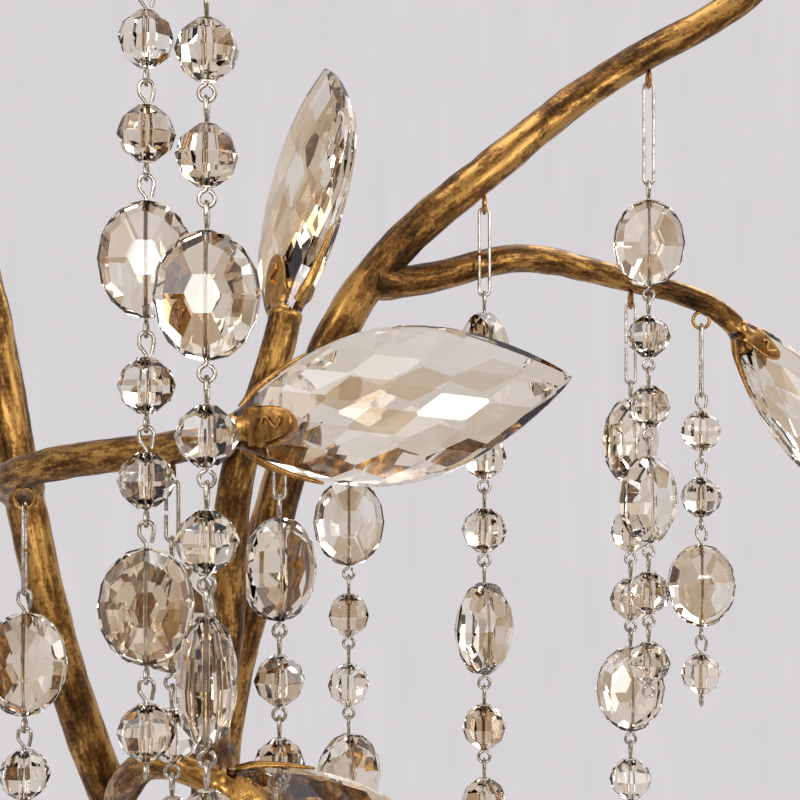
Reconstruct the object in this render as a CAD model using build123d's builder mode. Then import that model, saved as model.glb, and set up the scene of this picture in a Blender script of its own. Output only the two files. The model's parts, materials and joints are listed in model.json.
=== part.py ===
from build123d import *

import os
from math import cos, hypot, pi, radians, sin, sqrt

# Crystal wall sconce: forged and gilt branches that carry leaf-shaped crystals and strands of
# faceted beads linked on wire pins.
#
# Millimetres. +Z is up, the wall is the plane Y=0 and the light stands out along -Y. The origin is
# the middle of the mounting bracket's rear face, which lies against the wall box.

os.makedirs("parts", exist_ok=True)

# ---------------------------------------------------------------- driving dimensions

# Wall fixing
PLATE_RADIUS = 60.0  # rim of the dished wall plate
PLATE_DEPTH = 20.0  # wall to the plate's flat front
PLATE_WALL = 1.2  # pressed steel
PLATE_FRONT_RADIUS = 36.0  # flat part of the front
PLATE_RIM = 5.0  # straight rim behind the slope
PLATE_SIDES = 32
BRACKET_LENGTH = 106.0
BRACKET_WIDTH = 22.0
BRACKET_THICK = 2.4
BOX_SCREW_SPACING = 88.9  # wall box screws, centre to centre
BOX_SLOT_LENGTH = 9.0
BOX_SLOT_WIDTH = 4.6
STUD_SPACING = 52.0  # the two studs that hold the plate
STUD_DIA = 4.0
NUT_FLATS = 8.0  # cap nut across flats
NUT_HEIGHT = 7.0
EARTH_SCREW_SPACING = 15.0  # from the bracket's middle
EARTH_SCREW_DIA = 3.4
NIPPLE_DIA = 9.6  # threaded tube that clamps the branches to the plate
NIPPLE_LENGTH = 12.0
LOCK_NUT_FLATS = 14.0
LOCK_NUT_THICK = 3.0
COLLAR_DIA = 30.0
COLLAR_LENGTH = 6.0
FIT = 0.25  # clearance round screws and pins in their holes
SCREW_SIDES = 10

# Forged branches
BRANCH_SIDES = 10  # hammer flats round a main branch
TWIG_SIDES = 8  # and round a twig
MAIN_ROOT_DIA = 15.0
MAIN_TIP_DIA = 9.0
LEFT_ROOT_DIA = 13.0
SIDE_ROOT_DIA = 9.6
SIDE_TIP_DIA = 7.0
CROWN_ROOT_DIA = 9.6
CROWN_TIP_DIA = 7.4
LEAF_TWIG_ROOT_DIA = 10.0
LEAF_TWIG_TIP_DIA = 8.0
SPUR_DIA = 6.0

# Leaf crystals and the claws that grip them
LEAF_LENGTH = 76.0
LEAF_WIDTH = 38.0
LEAF_THICK = 13.0
LEAF_GIRDLE = 1.6  # thickness at the rim
CLAW_NECK = 7.0  # from the twig's end to the crystal's base
CLAW_GRIP = 12.0  # how far the jaws reach along the crystal
CLAW_MOUTH_WIDTH = 19.0
CLAW_MOUTH_THICK = 11.5
CLAW_SLOT = 7.0  # gap between the two jaws, at the crystal's edges

# Beads
ROUND_DIA = 14.0
OVAL_LENGTH = 28.0
OVAL_WIDTH = 23.0
OVAL_DEPTH = 13.0
BEAD_FACETS = 6
BEAD_FLAT = 5.0  # flat that is ground round each end of the bore

# Wires: square here, with the side of the real wire's diameter
WIRE = 1.0
WIRE_GAP = 0.05  # between two linked wires
BEAD_BORE = WIRE * sqrt(2) + 2 * WIRE_GAP  # lets the pin stand at any turn
LOOP_HALF_WIDTH = 1.65  # hairpin loop above a bead
LOOP_RISE = 5.9
EYE_HALF_WIDTH = 1.7  # small eye below a bead
EYE_DROP = 4.2
EYELET_WIRE = 1.2
EYELET_RADIUS = 3.2
EYELET_BITE = 0.4  # how deep an eyelet is brazed into its branch
HOOK_HALF_WIDTH = 1.55

# Lamps
CUP_DIA = 34.0
CUP_HEIGHT = 12.0
CUP_WALL = 1.2
CUP_FOOT = 5.0
SLEEVE_DIA = 23.0
SLEEVE_LENGTH = 62.0
SLEEVE_WALL = 1.0
HOLDER_DIA = 19.0
HOLDER_LENGTH = 60.0
HOLDER_BORE = 12.6
HOLDER_BORE_DEPTH = 22.0
BULB_CAP_DIA = 12.0
BULB_CAP_LENGTH = 25.0
BULB_DIA = 34.0
BULB_LENGTH = 76.0
LAMP_SIDES = 12

UP = Vector(0, 0, 1)


def finish(builder, name):
    """Labels a finished piece and writes its file."""
    builder.part.label = name
    export_step(builder.part, f"parts/{name}.step")


def polar(radius, degrees):
    return radius * cos(radians(degrees)), radius * sin(radians(degrees))


def largest(builder):
    """The main solid of what a cut leaves, without the chips on the far side of the cutter."""
    return builder.solids().sort_by(SortBy.VOLUME)[-1]


def ring_corners(sides, rings):
    """Corners of a stack of rings, each a (height, width, depth)."""
    corners = []
    for height, width, depth in rings:
        for corner in range(sides):
            x, y = polar(0.5, 360 * corner / sides)
            corners.append((x * width, y * depth, height))
    return corners


# ---------------------------------------------------------------- branches


class Branch:
    """A bar drawn down to a taper and bent along a free curve, hammered to flats all round."""

    def __init__(self, points, headings, root_dia, tip_dia, spans, welded_to=(), sides=TWIG_SIDES):
        self.root_dia = root_dia
        self.tip_dia = tip_dia
        with BuildPart() as drawn:
            with BuildLine() as route:
                Spline(*points, tangents=headings, tangent_scalars=(1, 1))
            self.path = route.line.edges()[0]
            side = self.path.tangent_at(0).cross(Vector(0.3, 0.2, 1)).normalized()
            for i in range(spans + 1):
                place = i / spans
                along = self.path.tangent_at(place)
                side = (side - along * side.dot(along)).normalized()
                with BuildSketch(Plane(self.path.position_at(place), side, along)):
                    RegularPolygon(self.radius(place), sides)
            loft(ruled=True)
            for parent in welded_to:
                add(parent.bar.part, mode=Mode.SUBTRACT)
        with BuildPart() as self.bar:
            add(largest(drawn))

    def radius(self, place):
        return (self.root_dia + (self.tip_dia - self.root_dia) * place) / 2

    def point(self, place):
        return self.path.position_at(place)

    def weld(self, x, y, z):
        """The point of the centre line nearest to a spot, where another bar is welded on."""
        spots = (self.point(step / 500) for step in range(501))
        return min(spots, key=lambda spot: (spot - Vector(x, y, z)).length)

    def place_over(self, x, y):
        """The place where the bar passes nearest to the upright line through x and y."""

        def miss(place):
            spot = self.point(place)
            return hypot(spot.X - x, spot.Y - y)

        return min((step / 500 for step in range(501)), key=miss)

    def underside(self, place):
        """The point straight below the bar's centre line, on its surface."""
        along = self.path.tangent_at(place)
        drop = self.radius(place) / sqrt(along.X**2 + along.Y**2)
        return self.path.position_at(place) - UP * drop


class Leaf:
    """One leaf crystal: where its base is, which way it points and which way its face looks."""

    def __init__(self, base, along, face):
        self.base = Vector(*base)
        self.along = Vector(*along).normalized()
        toward = Vector(*face)
        self.face = (toward - self.along * toward.dot(self.along)).normalized()

    def plane(self):
        return Plane(self.base, self.along, self.face)

    def twig_end(self):
        return self.base - self.along * CLAW_NECK


leaves = {
    "side": Leaf((6, -181, 198.5), (0.975, -0.16, 0.156), (-0.12, -1, 0.12)),
    "upright": Leaf((12, -166, 231), (0.11, 0.5, 0.86), (-0.8, -0.6, 0.2)),
    "low": Leaf((-2, -156, 103), (0.86, -0.05, -0.5), (0.05, -1, 0.25)),
    "right": Leaf((158, -37, 224), (0.62, -0.1, -0.78), (0.5, -0.8, 0.3)),
    "left": Leaf((-160, -98, 236), (-0.6, 0.2, -0.78), (-0.4, -0.9, 0.2)),
    "crown": Leaf((22, -250, 378), (0.72, -0.15, 0.68), (-0.1, -0.9, -0.1)),
}


collar_front = -PLATE_DEPTH - COLLAR_LENGTH
main_right = Branch(
    [
        (0, collar_front, 0),
        (-5, -56, 5),
        (-14, -86, 32),
        (-16, -98, 80),
        (-9, -100, 128),
        (4.8, -103, 178),
        (19.5, -103, 221),
        (40, -97, 251),
        (66, -89, 274),
        (90, -76, 295),
        (125, -63, 319),
        (151, -61, 335),
        (166, -62, 355),
        (170, -62, 378),
    ],
    [(0, -1, 0), (0, 0, 1)],
    MAIN_ROOT_DIA,
    MAIN_TIP_DIA,
    27,
    sides=BRANCH_SIDES,
)
main_left = Branch(
    [
        main_right.weld(-13, -82, 27),
        (-38, -86, 62),
        (-60, -96, 125),
        (-76, -100, 205),
        (-90, -96, 262),
        (-114, -84, 302),
        (-142, -72, 330),
        (-160, -66, 352),
        (-166, -64, 378),
    ],
    [(-0.8, -0.2, 0.6), (0, 0, 1)],
    LEFT_ROOT_DIA,
    MAIN_TIP_DIA,
    18,
    [main_right],
    BRANCH_SIDES,
)
side_right = Branch(
    [
        main_right.weld(32, -100, 241),
        (74, -76, 249),
        (101, -58, 247),
        (124, -44, 243),
        leaves["right"].twig_end(),
    ],
    [(0.9, 0.4, -0.2), leaves["right"].along],
    SIDE_ROOT_DIA,
    SIDE_TIP_DIA,
    9,
    [main_right],
)
side_left = Branch(
    [main_left.weld(-102, -90, 286), (-114, -106, 270), (-136, -104, 260), leaves["left"].twig_end()],
    [(-0.9, -0.3, 0.1), leaves["left"].along],
    SIDE_ROOT_DIA,
    SIDE_TIP_DIA,
    7,
    [main_left],
)
crown = Branch(
    [
        main_left.weld(-86, -98, 252),
        (-90, -124, 286),
        (-76, -144, 336),
        (-50, -152, 366),
        (-31, -171, 373),
        (-13, -202, 371),
        (-1, -225, 362),
        leaves["crown"].twig_end(),
    ],
    [(-0.3, -0.7, 0.6), leaves["crown"].along],
    CROWN_ROOT_DIA,
    CROWN_TIP_DIA,
    16,
    [main_left],
)
front_spur = Branch(
    [main_right.weld(-2, -103, 156), (8, -124, 198), (7.5, -148, 205)],
    [(0, -1, 0.3), (0, -1, 0)],
    SPUR_DIA,
    SPUR_DIA,
    4,
    [main_right],
)
rear_spur = Branch(
    [main_right.weld(8, -103, 190), (21.5, -82, 212), (23.5, -56, 207)],
    [(0.1, 1, -0.3), (0, 1, 0)],
    SPUR_DIA,
    SPUR_DIA,
    4,
    [main_right],
)

# ---------------------------------------------------------------- leaf crystals on their twigs


def leaf_half_width(share):
    """Half the crystal's width at a share of its length: blunt at the base, pointed at the tip."""
    blunt = 0.12
    return LEAF_WIDTH / 2 * sin(pi * (blunt + (1 - blunt) * share)) ** 0.85


def leaf_crystal(leaf):
    """Facet corners: a rim on each side of the girdle, and two staggered rows on each face."""
    rim_shares = [0, 0.15, 0.33, 0.52, 0.71, 0.88]
    corners = []
    for share in rim_shares:
        for side in (-1, 1):
            half = leaf_half_width(share) * side
            corners += [(LEAF_LENGTH * share, half, z * LEAF_GIRDLE / 2) for z in (-1, 1)]
    corners += [(LEAF_LENGTH, 0, z * LEAF_GIRDLE / 2) for z in (-1, 1)]
    rows = {0.0: (0.1, 0.3, 0.5, 0.7, 0.87), 0.62: (0.2, 0.4, 0.6, 0.78)}
    for across, shares in rows.items():
        for share in shares:
            half = leaf_half_width(share)
            swell = LEAF_THICK / 2 * sqrt(2 * half / LEAF_WIDTH) * sqrt(1 - 0.62 * across**2)
            for side in {-1, 1} if across else {1}:
                corners += [(LEAF_LENGTH * share, side * across * half, z * swell) for z in (-1, 1)]
    with BuildPart(leaf.plane()) as crystal:
        ConvexPolyhedron(corners)
    return crystal


def leaf_claw(leaf, crystal, twig_dia):
    """A flared socket, slotted at the crystal's two edges so that a jaw closes on each face."""
    plane = leaf.plane()
    rings = [
        (0, twig_dia, twig_dia),
        (CLAW_NECK - 1, CLAW_MOUTH_WIDTH * 0.8, CLAW_MOUTH_THICK),
        (CLAW_NECK + CLAW_GRIP, CLAW_MOUTH_WIDTH, CLAW_MOUTH_THICK),
    ]
    with BuildPart(Plane(leaf.twig_end(), plane.y_dir, leaf.along)) as socket:
        ConvexPolyhedron(ring_corners(8, rings))
    with BuildPart() as claw:
        add(socket.part)
        add(crystal.part, mode=Mode.SUBTRACT)
        with BuildSketch(plane):
            with BuildLine():
                Polyline(
                    (1, 0), (CLAW_GRIP + 1, CLAW_SLOT), (CLAW_GRIP + 1, -CLAW_SLOT), close=True
                )
            make_face()
        extrude(amount=LEAF_THICK, both=True, mode=Mode.SUBTRACT)
    return claw


def leaf_twig(start, points, headings, leaf, welded_to):
    route = [start, *points, leaf.twig_end()]
    return Branch(
        route, [headings, leaf.along], LEAF_TWIG_ROOT_DIA, LEAF_TWIG_TIP_DIA, 7, welded_to
    )


twig_upright = leaf_twig(
    main_right.weld(-14, -99, 100),
    [(-11, -129, 120), (-5, -151, 148), (-1, -164, 186)],
    (0, -1, 0.5),
    leaves["upright"],
    [main_right],
)
twig_side = leaf_twig(
    main_left.weld(-68, -98, 180),
    [(-70, -124, 182), (-56, -144, 187), (-32, -159, 191), (-13, -171, 194)],
    (0, -1, 0),
    leaves["side"],
    [main_left],
)
twig_low = leaf_twig(
    main_left.weld(-43, -87, 73),
    [(-41, -110, 86), (-34, -134, 101), (-22, -150, 110)],
    (0, -1, 0.2),
    leaves["low"],
    [main_left],
)

branches = {
    "main_branch_right": main_right,
    "main_branch_left": main_left,
    "side_twig_right": side_right,
    "side_twig_left": side_left,
    "crown_branch": crown,
    "front_spur": front_spur,
    "rear_spur": rear_spur,
    "leaf_twig_upright": twig_upright,
    "leaf_twig_side": twig_side,
    "leaf_twig_low": twig_low,
}
for name, branch in branches.items():
    finish(branch.bar, name)

leaf_carriers = {
    "side": LEAF_TWIG_TIP_DIA,
    "upright": LEAF_TWIG_TIP_DIA,
    "low": LEAF_TWIG_TIP_DIA,
    "right": SIDE_TIP_DIA,
    "left": SIDE_TIP_DIA,
    "crown": CROWN_TIP_DIA,
}
with BuildPart() as leaf_claws:
    for name, leaf in leaves.items():
        crystal = leaf_crystal(leaf)
        finish(crystal, f"leaf_crystal_{name}")
        add(leaf_claw(leaf, crystal, leaf_carriers[name]).part)
finish(leaf_claws, "leaf_claws")

# ---------------------------------------------------------------- beads and their wires


def bead(half_rings):
    """A bead ground to bands of facets, bored from end to end."""
    rings = half_rings + [(-height, width, depth) for height, width, depth in half_rings if height]
    length = half_rings[0][0] * 2
    with BuildPart() as solid:
        ConvexPolyhedron(ring_corners(BEAD_FACETS, rings))
        Box(BEAD_BORE, BEAD_BORE, 2 * length, mode=Mode.SUBTRACT)
    return solid.part


ROUND_LENGTH = ROUND_DIA * 0.95
beads = {
    "round": bead([(ROUND_LENGTH / 2, BEAD_FLAT, BEAD_FLAT), (3.0, ROUND_DIA, ROUND_DIA)]),
    "oval": bead(
        [
            (OVAL_LENGTH / 2, BEAD_FLAT, BEAD_FLAT * 0.8),
            (OVAL_LENGTH * 0.27, OVAL_WIDTH * 0.86, OVAL_DEPTH),
            (0, OVAL_WIDTH, OVAL_DEPTH),
        ]
    ),
}
bead_length = {"round": ROUND_LENGTH, "oval": OVAL_LENGTH}
PATTERN = ("oval", "round", "round")


def bent_wire(points, side, across):
    """A length of wire bent along straight runs; side is the first corner's square direction."""
    with BuildPart() as wire:
        with BuildLine() as route:
            Polyline(*points)
        start = route.wire().position_at(0)
        with BuildSketch(Plane(start, side, Vector(*points[1]) - Vector(*points[0]))):
            Rectangle(across, across)
        sweep(transition=Transition.RIGHT)
    return wire.part


def pin_wire(kind):
    """One bead's pin: an open hairpin loop above, the shank, and a small eye below at 90 degrees."""
    top = bead_length[kind] / 2
    loop = top + LOOP_RISE
    eye = -top - EYE_DROP
    return bent_wire(
        [
            (1.1, 0, top + 1),
            (LOOP_HALF_WIDTH, 0, loop),
            (-LOOP_HALF_WIDTH, 0, loop),
            (0, 0, top + 0.2),
            (0, 0, -top - 0.25),
            (0, EYE_HALF_WIDTH, -top - 1.5),
            (0, EYE_HALF_WIDTH, eye),
            (0, -EYE_HALF_WIDTH, eye),
            (0, -EYE_HALF_WIDTH, -top - 1.2),
        ],
        (0, 1, 0),
        WIRE,
    )


def hook_wire(length):
    """The long hairpin that hangs a strand on its eyelet, bent closed round the first loop."""
    top = EYELET_WIRE / sqrt(2) + WIRE / 2 + WIRE_GAP
    low = -length
    return bent_wire(
        [
            (0, HOOK_HALF_WIDTH, -length / 2 + 0.2),
            (0, HOOK_HALF_WIDTH, top),
            (0, -HOOK_HALF_WIDTH, top),
            (0, -HOOK_HALF_WIDTH, low),
            (0, HOOK_HALF_WIDTH, low),
            (0, HOOK_HALF_WIDTH, -length / 2 - 0.2),
        ],
        (1, 0, 0),
        WIRE,
    )


pins = {kind: pin_wire(kind) for kind in beads}


def hung_beads(facings, first, count, hook_length):
    """Each bead's kind and facing, and the height of its middle below the strand's hinge."""
    hold = WIRE + WIRE_GAP
    bar = -hook_length
    found = []
    for i in range(count):
        kind = PATTERN[(first + i) % len(PATTERN)]
        middle = bar + hold - LOOP_RISE - bead_length[kind] / 2
        found.append((kind, facings[i // len(PATTERN) % len(facings)], middle))
        bar = middle - bead_length[kind] / 2 - EYE_DROP
    return found


# Each strand: the branch that carries it, the upright line that it hangs on, the heading of its
# eyelet's bar, the ways its ovals face in turn, where the bead pattern starts, how many beads and
# its hook.
OVAL, ROUND_A, ROUND_B = range(3)
strands = {
    "strand_01": (crown, (-1, -225), 90, (90, 0), OVAL, 8, 25.3),
    "strand_02": (crown, (-19.5, -189), 0, (0, 10), OVAL, 8, 25.9),
    "strand_03": (twig_side, (-17, -167.5), 90, (0, 20), OVAL, 4, 14.0),
    "strand_04": (front_spur, (7.5, -141), 90, (35, 0), OVAL, 4, 18.0),
    "strand_05": (rear_spur, (23.3, -62), 90, (10, 30), OVAL, 4, 15.0),
    "strand_06": (main_right, (65, -89), 90, (60, 50), OVAL, 6, 25.0),
    "strand_07": (side_right, (116, -48), 90, (40, 10), OVAL, 5, 25.0),
    "strand_08": (main_right, (120, -66), 90, (0, 40), OVAL, 6, 31.0),
    "strand_09": (side_right, (142, -40), 0, (0, 30), ROUND_A, 4, 23.0),
    "strand_10": (twig_side, (-60, -138), 0, (0, 60), OVAL, 4, 23.0),
    "strand_11": (main_left, (-124, -79), 0, (90, 60), ROUND_A, 4, 28.0),
    "strand_12": (side_left, (-146, -102), 0, (90, 70), OVAL, 3, 23.0),
}


def eyelet(carrier, line, heading):
    """A wire ring brazed under a branch, and the middle of its lower bar, where a hook swings."""
    under = carrier.underside(carrier.place_over(*line))
    rise = EYELET_RADIUS * sqrt(3) / 2
    middle = under + UP * (EYELET_BITE - rise)
    corners = [polar(EYELET_RADIUS, 120 - 60 * i) for i in range(6)]
    along = Vector(*polar(1, heading))
    plane = Plane(middle, along, along.cross(UP))
    x, y = corners[0]
    with BuildPart() as ring:
        with BuildLine(plane):
            Polyline((x + 0.6, y), *corners[1:], corners[0], (x + 0.4, y))
        with BuildSketch(Plane(plane.from_local_coords((x + 0.6, y)), plane.z_dir, along)):
            Rectangle(EYELET_WIRE, EYELET_WIRE)
        sweep(transition=Transition.RIGHT)
        add(carrier.bar.part, mode=Mode.SUBTRACT)
    return largest(ring), middle - UP * rise


hinges = {}
with BuildPart() as branch_eyelets:
    for name, (carrier, line, heading, *_) in strands.items():
        ring, bar = eyelet(carrier, line, heading)
        hinges[name] = bar, heading
        add(ring)
finish(branch_eyelets, "branch_eyelets")

for name, (_, _, heading, facings, first, count, hook_length) in strands.items():
    bar, _ = hinges[name]
    hung = hung_beads(facings, first, count, hook_length)
    with BuildPart() as strand_beads:
        for kind in beads:
            spots = [
                Location(bar + UP * level, (0, 0, facing))
                for found, facing, level in hung
                if found == kind
            ]
            if spots:
                with Locations(*spots):
                    add(beads[kind])
    finish(strand_beads, f"{name}_beads")
    with BuildPart() as strand_wires:
        with Locations(Location(bar, (0, 0, heading))):
            add(hook_wire(hook_length))
        for kind in beads:
            spots = [
                Location(bar + UP * level, (0, 0, heading))
                for found, _, level in hung
                if found == kind
            ]
            if spots:
                with Locations(*spots):
                    add(pins[kind])
    finish(strand_wires, f"{name}_wires")

# ---------------------------------------------------------------- lamps


def lamp(side, branch):
    """Cup, sleeve, lampholder and lamp, stacked on a main branch's upright end."""
    foot = branch.point(1)
    cup_floor = foot.Z + CUP_FOOT
    base = Plane(foot)
    floor = Plane((foot.X, foot.Y, cup_floor))
    seat = SLEEVE_DIA + 4
    with BuildPart(base) as cup:
        shell = [(0, MAIN_TIP_DIA + 2), (CUP_FOOT - CUP_WALL, seat), (CUP_HEIGHT, CUP_DIA)]
        ConvexPolyhedron(ring_corners(LAMP_SIDES, [(z, dia, dia) for z, dia in shell]))
        hollow = [(CUP_FOOT, seat - CUP_WALL), (CUP_HEIGHT, CUP_DIA - 2 * CUP_WALL)]
        ConvexPolyhedron(
            ring_corners(LAMP_SIDES, [(z, dia, dia) for z, dia in hollow]), mode=Mode.SUBTRACT
        )
    finish(cup, f"lamp_cup_{side}")
    with BuildPart() as sleeve:
        with BuildSketch(floor):
            RegularPolygon(SLEEVE_DIA / 2, LAMP_SIDES)
            RegularPolygon(SLEEVE_DIA / 2 - SLEEVE_WALL, LAMP_SIDES, mode=Mode.SUBTRACT)
        extrude(amount=SLEEVE_LENGTH)
    finish(sleeve, f"candle_sleeve_{side}")
    with BuildPart() as holder:
        with BuildSketch(floor):
            RegularPolygon(HOLDER_DIA / 2, LAMP_SIDES)
        extrude(amount=HOLDER_LENGTH)
        with BuildSketch(floor.offset(HOLDER_LENGTH - HOLDER_BORE_DEPTH)):
            RegularPolygon(HOLDER_BORE / 2, LAMP_SIDES)
        extrude(amount=HOLDER_BORE_DEPTH, mode=Mode.SUBTRACT)
    finish(holder, f"lampholder_{side}")
    cap_foot = floor.offset(HOLDER_LENGTH - HOLDER_BORE_DEPTH)
    with BuildPart() as bulb_cap:
        with BuildSketch(cap_foot):
            RegularPolygon(BULB_CAP_DIA / 2, LAMP_SIDES)
        extrude(amount=BULB_CAP_LENGTH)
    finish(bulb_cap, f"bulb_cap_{side}")
    profile = [(0, 0.36), (0.14, 0.66), (0.34, 1), (0.54, 0.9), (0.76, 0.5), (1, 0.06)]
    with BuildPart(cap_foot.offset(BULB_CAP_LENGTH)) as bulb_glass:
        ConvexPolyhedron(
            ring_corners(
                LAMP_SIDES,
                [(up * BULB_LENGTH, wide * BULB_DIA, wide * BULB_DIA) for up, wide in profile],
            )
        )
    finish(bulb_glass, f"bulb_glass_{side}")


lamp("right", main_right)
lamp("left", main_left)

# ---------------------------------------------------------------- wall fixing

wall = Plane((0, 0, 0), (1, 0, 0), (0, -1, 0))
plate_front = wall.offset(PLATE_DEPTH)
stud_places = [(-STUD_SPACING / 2, 0), (STUD_SPACING / 2, 0)]


def plate_form(wall_thick):
    """The plate's straight rim, slope and flat front, drawn in by a wall thickness."""
    rim = 2 * (PLATE_RADIUS - wall_thick)
    front = 2 * PLATE_FRONT_RADIUS
    rings = [(0, rim, rim), (PLATE_RIM, rim, rim), (PLATE_DEPTH - wall_thick, front, front)]
    return ring_corners(PLATE_SIDES, rings)


with BuildPart(wall) as wall_plate:
    ConvexPolyhedron(plate_form(0))
    ConvexPolyhedron(plate_form(PLATE_WALL), mode=Mode.SUBTRACT)
    with BuildSketch(plate_front):
        RegularPolygon(NIPPLE_DIA / 2 + FIT, SCREW_SIDES)
        with Locations(*stud_places):
            RegularPolygon(STUD_DIA / 2 + FIT, SCREW_SIDES)
    extrude(amount=-2 * PLATE_WALL, mode=Mode.SUBTRACT)
finish(wall_plate, "wall_plate")

with BuildPart() as mounting_bracket:
    with BuildSketch(wall):
        Rectangle(BRACKET_LENGTH, BRACKET_WIDTH)
        with Locations((-BOX_SCREW_SPACING / 2, 0), (BOX_SCREW_SPACING / 2, 0)):
            SlotOverall(BOX_SLOT_LENGTH, BOX_SLOT_WIDTH, mode=Mode.SUBTRACT)
        with Locations(*stud_places):
            RegularPolygon(STUD_DIA / 2, SCREW_SIDES, mode=Mode.SUBTRACT)
        with Locations((EARTH_SCREW_SPACING, 0)):
            RegularPolygon(EARTH_SCREW_DIA / 2, SCREW_SIDES, mode=Mode.SUBTRACT)
    extrude(amount=BRACKET_THICK)
finish(mounting_bracket, "mounting_bracket")

with BuildPart() as plate_studs:
    with BuildSketch(wall):
        with Locations(*stud_places):
            RegularPolygon(STUD_DIA / 2, SCREW_SIDES)
    extrude(amount=PLATE_DEPTH + NUT_HEIGHT - 2)
finish(plate_studs, "plate_studs")

with BuildPart() as cap_nuts:
    with BuildSketch(plate_front):
        with Locations(*stud_places):
            RegularPolygon(NUT_FLATS / 2, 6, major_radius=False)
    extrude(amount=NUT_HEIGHT)
    chamfer(cap_nuts.faces().sort_by(Axis.Y)[:2].edges(), 1.4)
    with BuildSketch(plate_front):
        with Locations(*stud_places):
            RegularPolygon(STUD_DIA / 2, SCREW_SIDES)
    extrude(amount=NUT_HEIGHT - 2, mode=Mode.SUBTRACT)
finish(cap_nuts, "cap_nuts")

with BuildPart() as earth_screw:
    with BuildSketch(wall):
        with Locations((EARTH_SCREW_SPACING, 0)):
            RegularPolygon(EARTH_SCREW_DIA / 2, SCREW_SIDES)
    extrude(amount=BRACKET_THICK)
    with BuildSketch(wall.offset(BRACKET_THICK)):
        with Locations((EARTH_SCREW_SPACING, 0)):
            RegularPolygon(EARTH_SCREW_DIA, 6)
    extrude(amount=EARTH_SCREW_DIA * 0.7)
finish(earth_screw, "earth_screw")

with BuildPart() as branch_collar:
    with BuildSketch(plate_front):
        RegularPolygon(COLLAR_DIA / 2, 2 * SCREW_SIDES)
        RegularPolygon(NIPPLE_DIA / 2 + FIT, SCREW_SIDES, mode=Mode.SUBTRACT)
    extrude(amount=COLLAR_LENGTH)
    chamfer(branch_collar.faces().sort_by(Axis.Y)[0].outer_wire().edges(), COLLAR_LENGTH / 2)
finish(branch_collar, "branch_collar")

with BuildPart() as threaded_nipple:
    with BuildSketch(wall.offset(PLATE_DEPTH + COLLAR_LENGTH)):
        RegularPolygon(NIPPLE_DIA / 2, SCREW_SIDES)
    extrude(amount=-NIPPLE_LENGTH)
finish(threaded_nipple, "threaded_nipple")

with BuildPart() as lock_nut:
    with BuildSketch(wall.offset(PLATE_DEPTH - PLATE_WALL)):
        RegularPolygon(LOCK_NUT_FLATS / 2, 6, major_radius=False)
        RegularPolygon(NIPPLE_DIA / 2, SCREW_SIDES, mode=Mode.SUBTRACT)
    extrude(amount=-LOCK_NUT_THICK)
finish(lock_nut, "lock_nut")

for name, (bar, heading) in hinges.items():
    print(f"{name} hangs from ({bar.X:.1f}, {bar.Y:.1f}, {bar.Z:.1f}), eyelet bar at {heading} degrees")
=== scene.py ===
import json
import math
import random

import bmesh
import bpy
import numpy as np
from mathutils import Matrix, Vector


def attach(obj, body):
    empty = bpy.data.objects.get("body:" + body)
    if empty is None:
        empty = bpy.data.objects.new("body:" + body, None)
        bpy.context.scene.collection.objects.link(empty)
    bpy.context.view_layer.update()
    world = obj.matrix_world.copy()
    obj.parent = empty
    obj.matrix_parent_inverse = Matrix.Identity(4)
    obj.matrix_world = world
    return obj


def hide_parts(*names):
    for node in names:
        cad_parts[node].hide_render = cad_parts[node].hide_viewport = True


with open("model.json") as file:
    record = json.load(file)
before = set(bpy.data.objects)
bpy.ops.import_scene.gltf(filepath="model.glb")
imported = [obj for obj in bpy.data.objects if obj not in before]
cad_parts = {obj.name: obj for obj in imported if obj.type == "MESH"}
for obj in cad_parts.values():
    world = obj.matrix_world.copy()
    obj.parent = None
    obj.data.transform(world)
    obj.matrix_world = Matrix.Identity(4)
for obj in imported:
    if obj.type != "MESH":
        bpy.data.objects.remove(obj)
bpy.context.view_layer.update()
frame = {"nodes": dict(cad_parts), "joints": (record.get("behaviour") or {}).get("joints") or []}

# ---------------------------------------------------------------- the room
# The light hangs on a pale plastered wall and is seen close up, level, from the room. A pale floor
# lies below it. The wall itself is only the colour behind, so that the back can be looked at too.

CAMERA_PLACE = (0.040, -0.543, 0.205)
CAMERA_LENS = 67.5
FLOOR_DROP = 0.36
FLOOR_RADIUS = 0.95
LAMPS_AIM = (0.02, -0.1, 0.2)
FILL_LIGHT = (0.62, 0.61, 0.62, 1)
WALL_PALE = (0.679, 0.655, 0.672)
PLASTER_SHARES = (0.955, 1.06)  # of the wall's colour, in the plaster's darkest and lightest streaks
ROOM_TONES = [  # dark corners, brown furniture, a pale wall, and window panes
    (0.38, (0.075, 0.042, 0.02)),
    (0.46, (0.22, 0.135, 0.07)),
    (0.53, (0.46, 0.39, 0.31)),
    (0.6, (1.15, 1.17, 1.25)),
]


def placed(name, data):
    """A new object of this name in the scene, at the origin."""
    data.name = name
    thing = bpy.data.objects.new(name, data)
    bpy.context.scene.collection.objects.link(thing)
    return thing


def finished_mesh(shape):
    """The plain mesh of a bmesh that is done with."""
    mesh = bpy.data.meshes.new("shape")
    shape.to_mesh(mesh)
    shape.free()
    return mesh


def blank_material(name):
    """A new material, its tree and its shader."""
    material = bpy.data.materials.new(name)
    material.use_nodes = True
    return material, material.node_tree, material.node_tree.nodes["Principled BSDF"]


def set_inputs(node, inputs):
    """Gives a node its inputs: values, sockets, or nodes that stand for their first output."""
    for key, value in inputs.items():
        if isinstance(value, bpy.types.Node):
            value = value.outputs[0]
        if isinstance(value, bpy.types.NodeSocket):
            node.id_data.links.new(value, node.inputs[key])
        else:
            node.inputs[key].default_value = value


def add_node(tree, kind, inputs=None, **settings):
    """A new node with its settings and inputs."""
    node = tree.nodes.new(kind)
    for name, value in settings.items():
        setattr(node, name, value)
    set_inputs(node, inputs or {})
    return node


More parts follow.
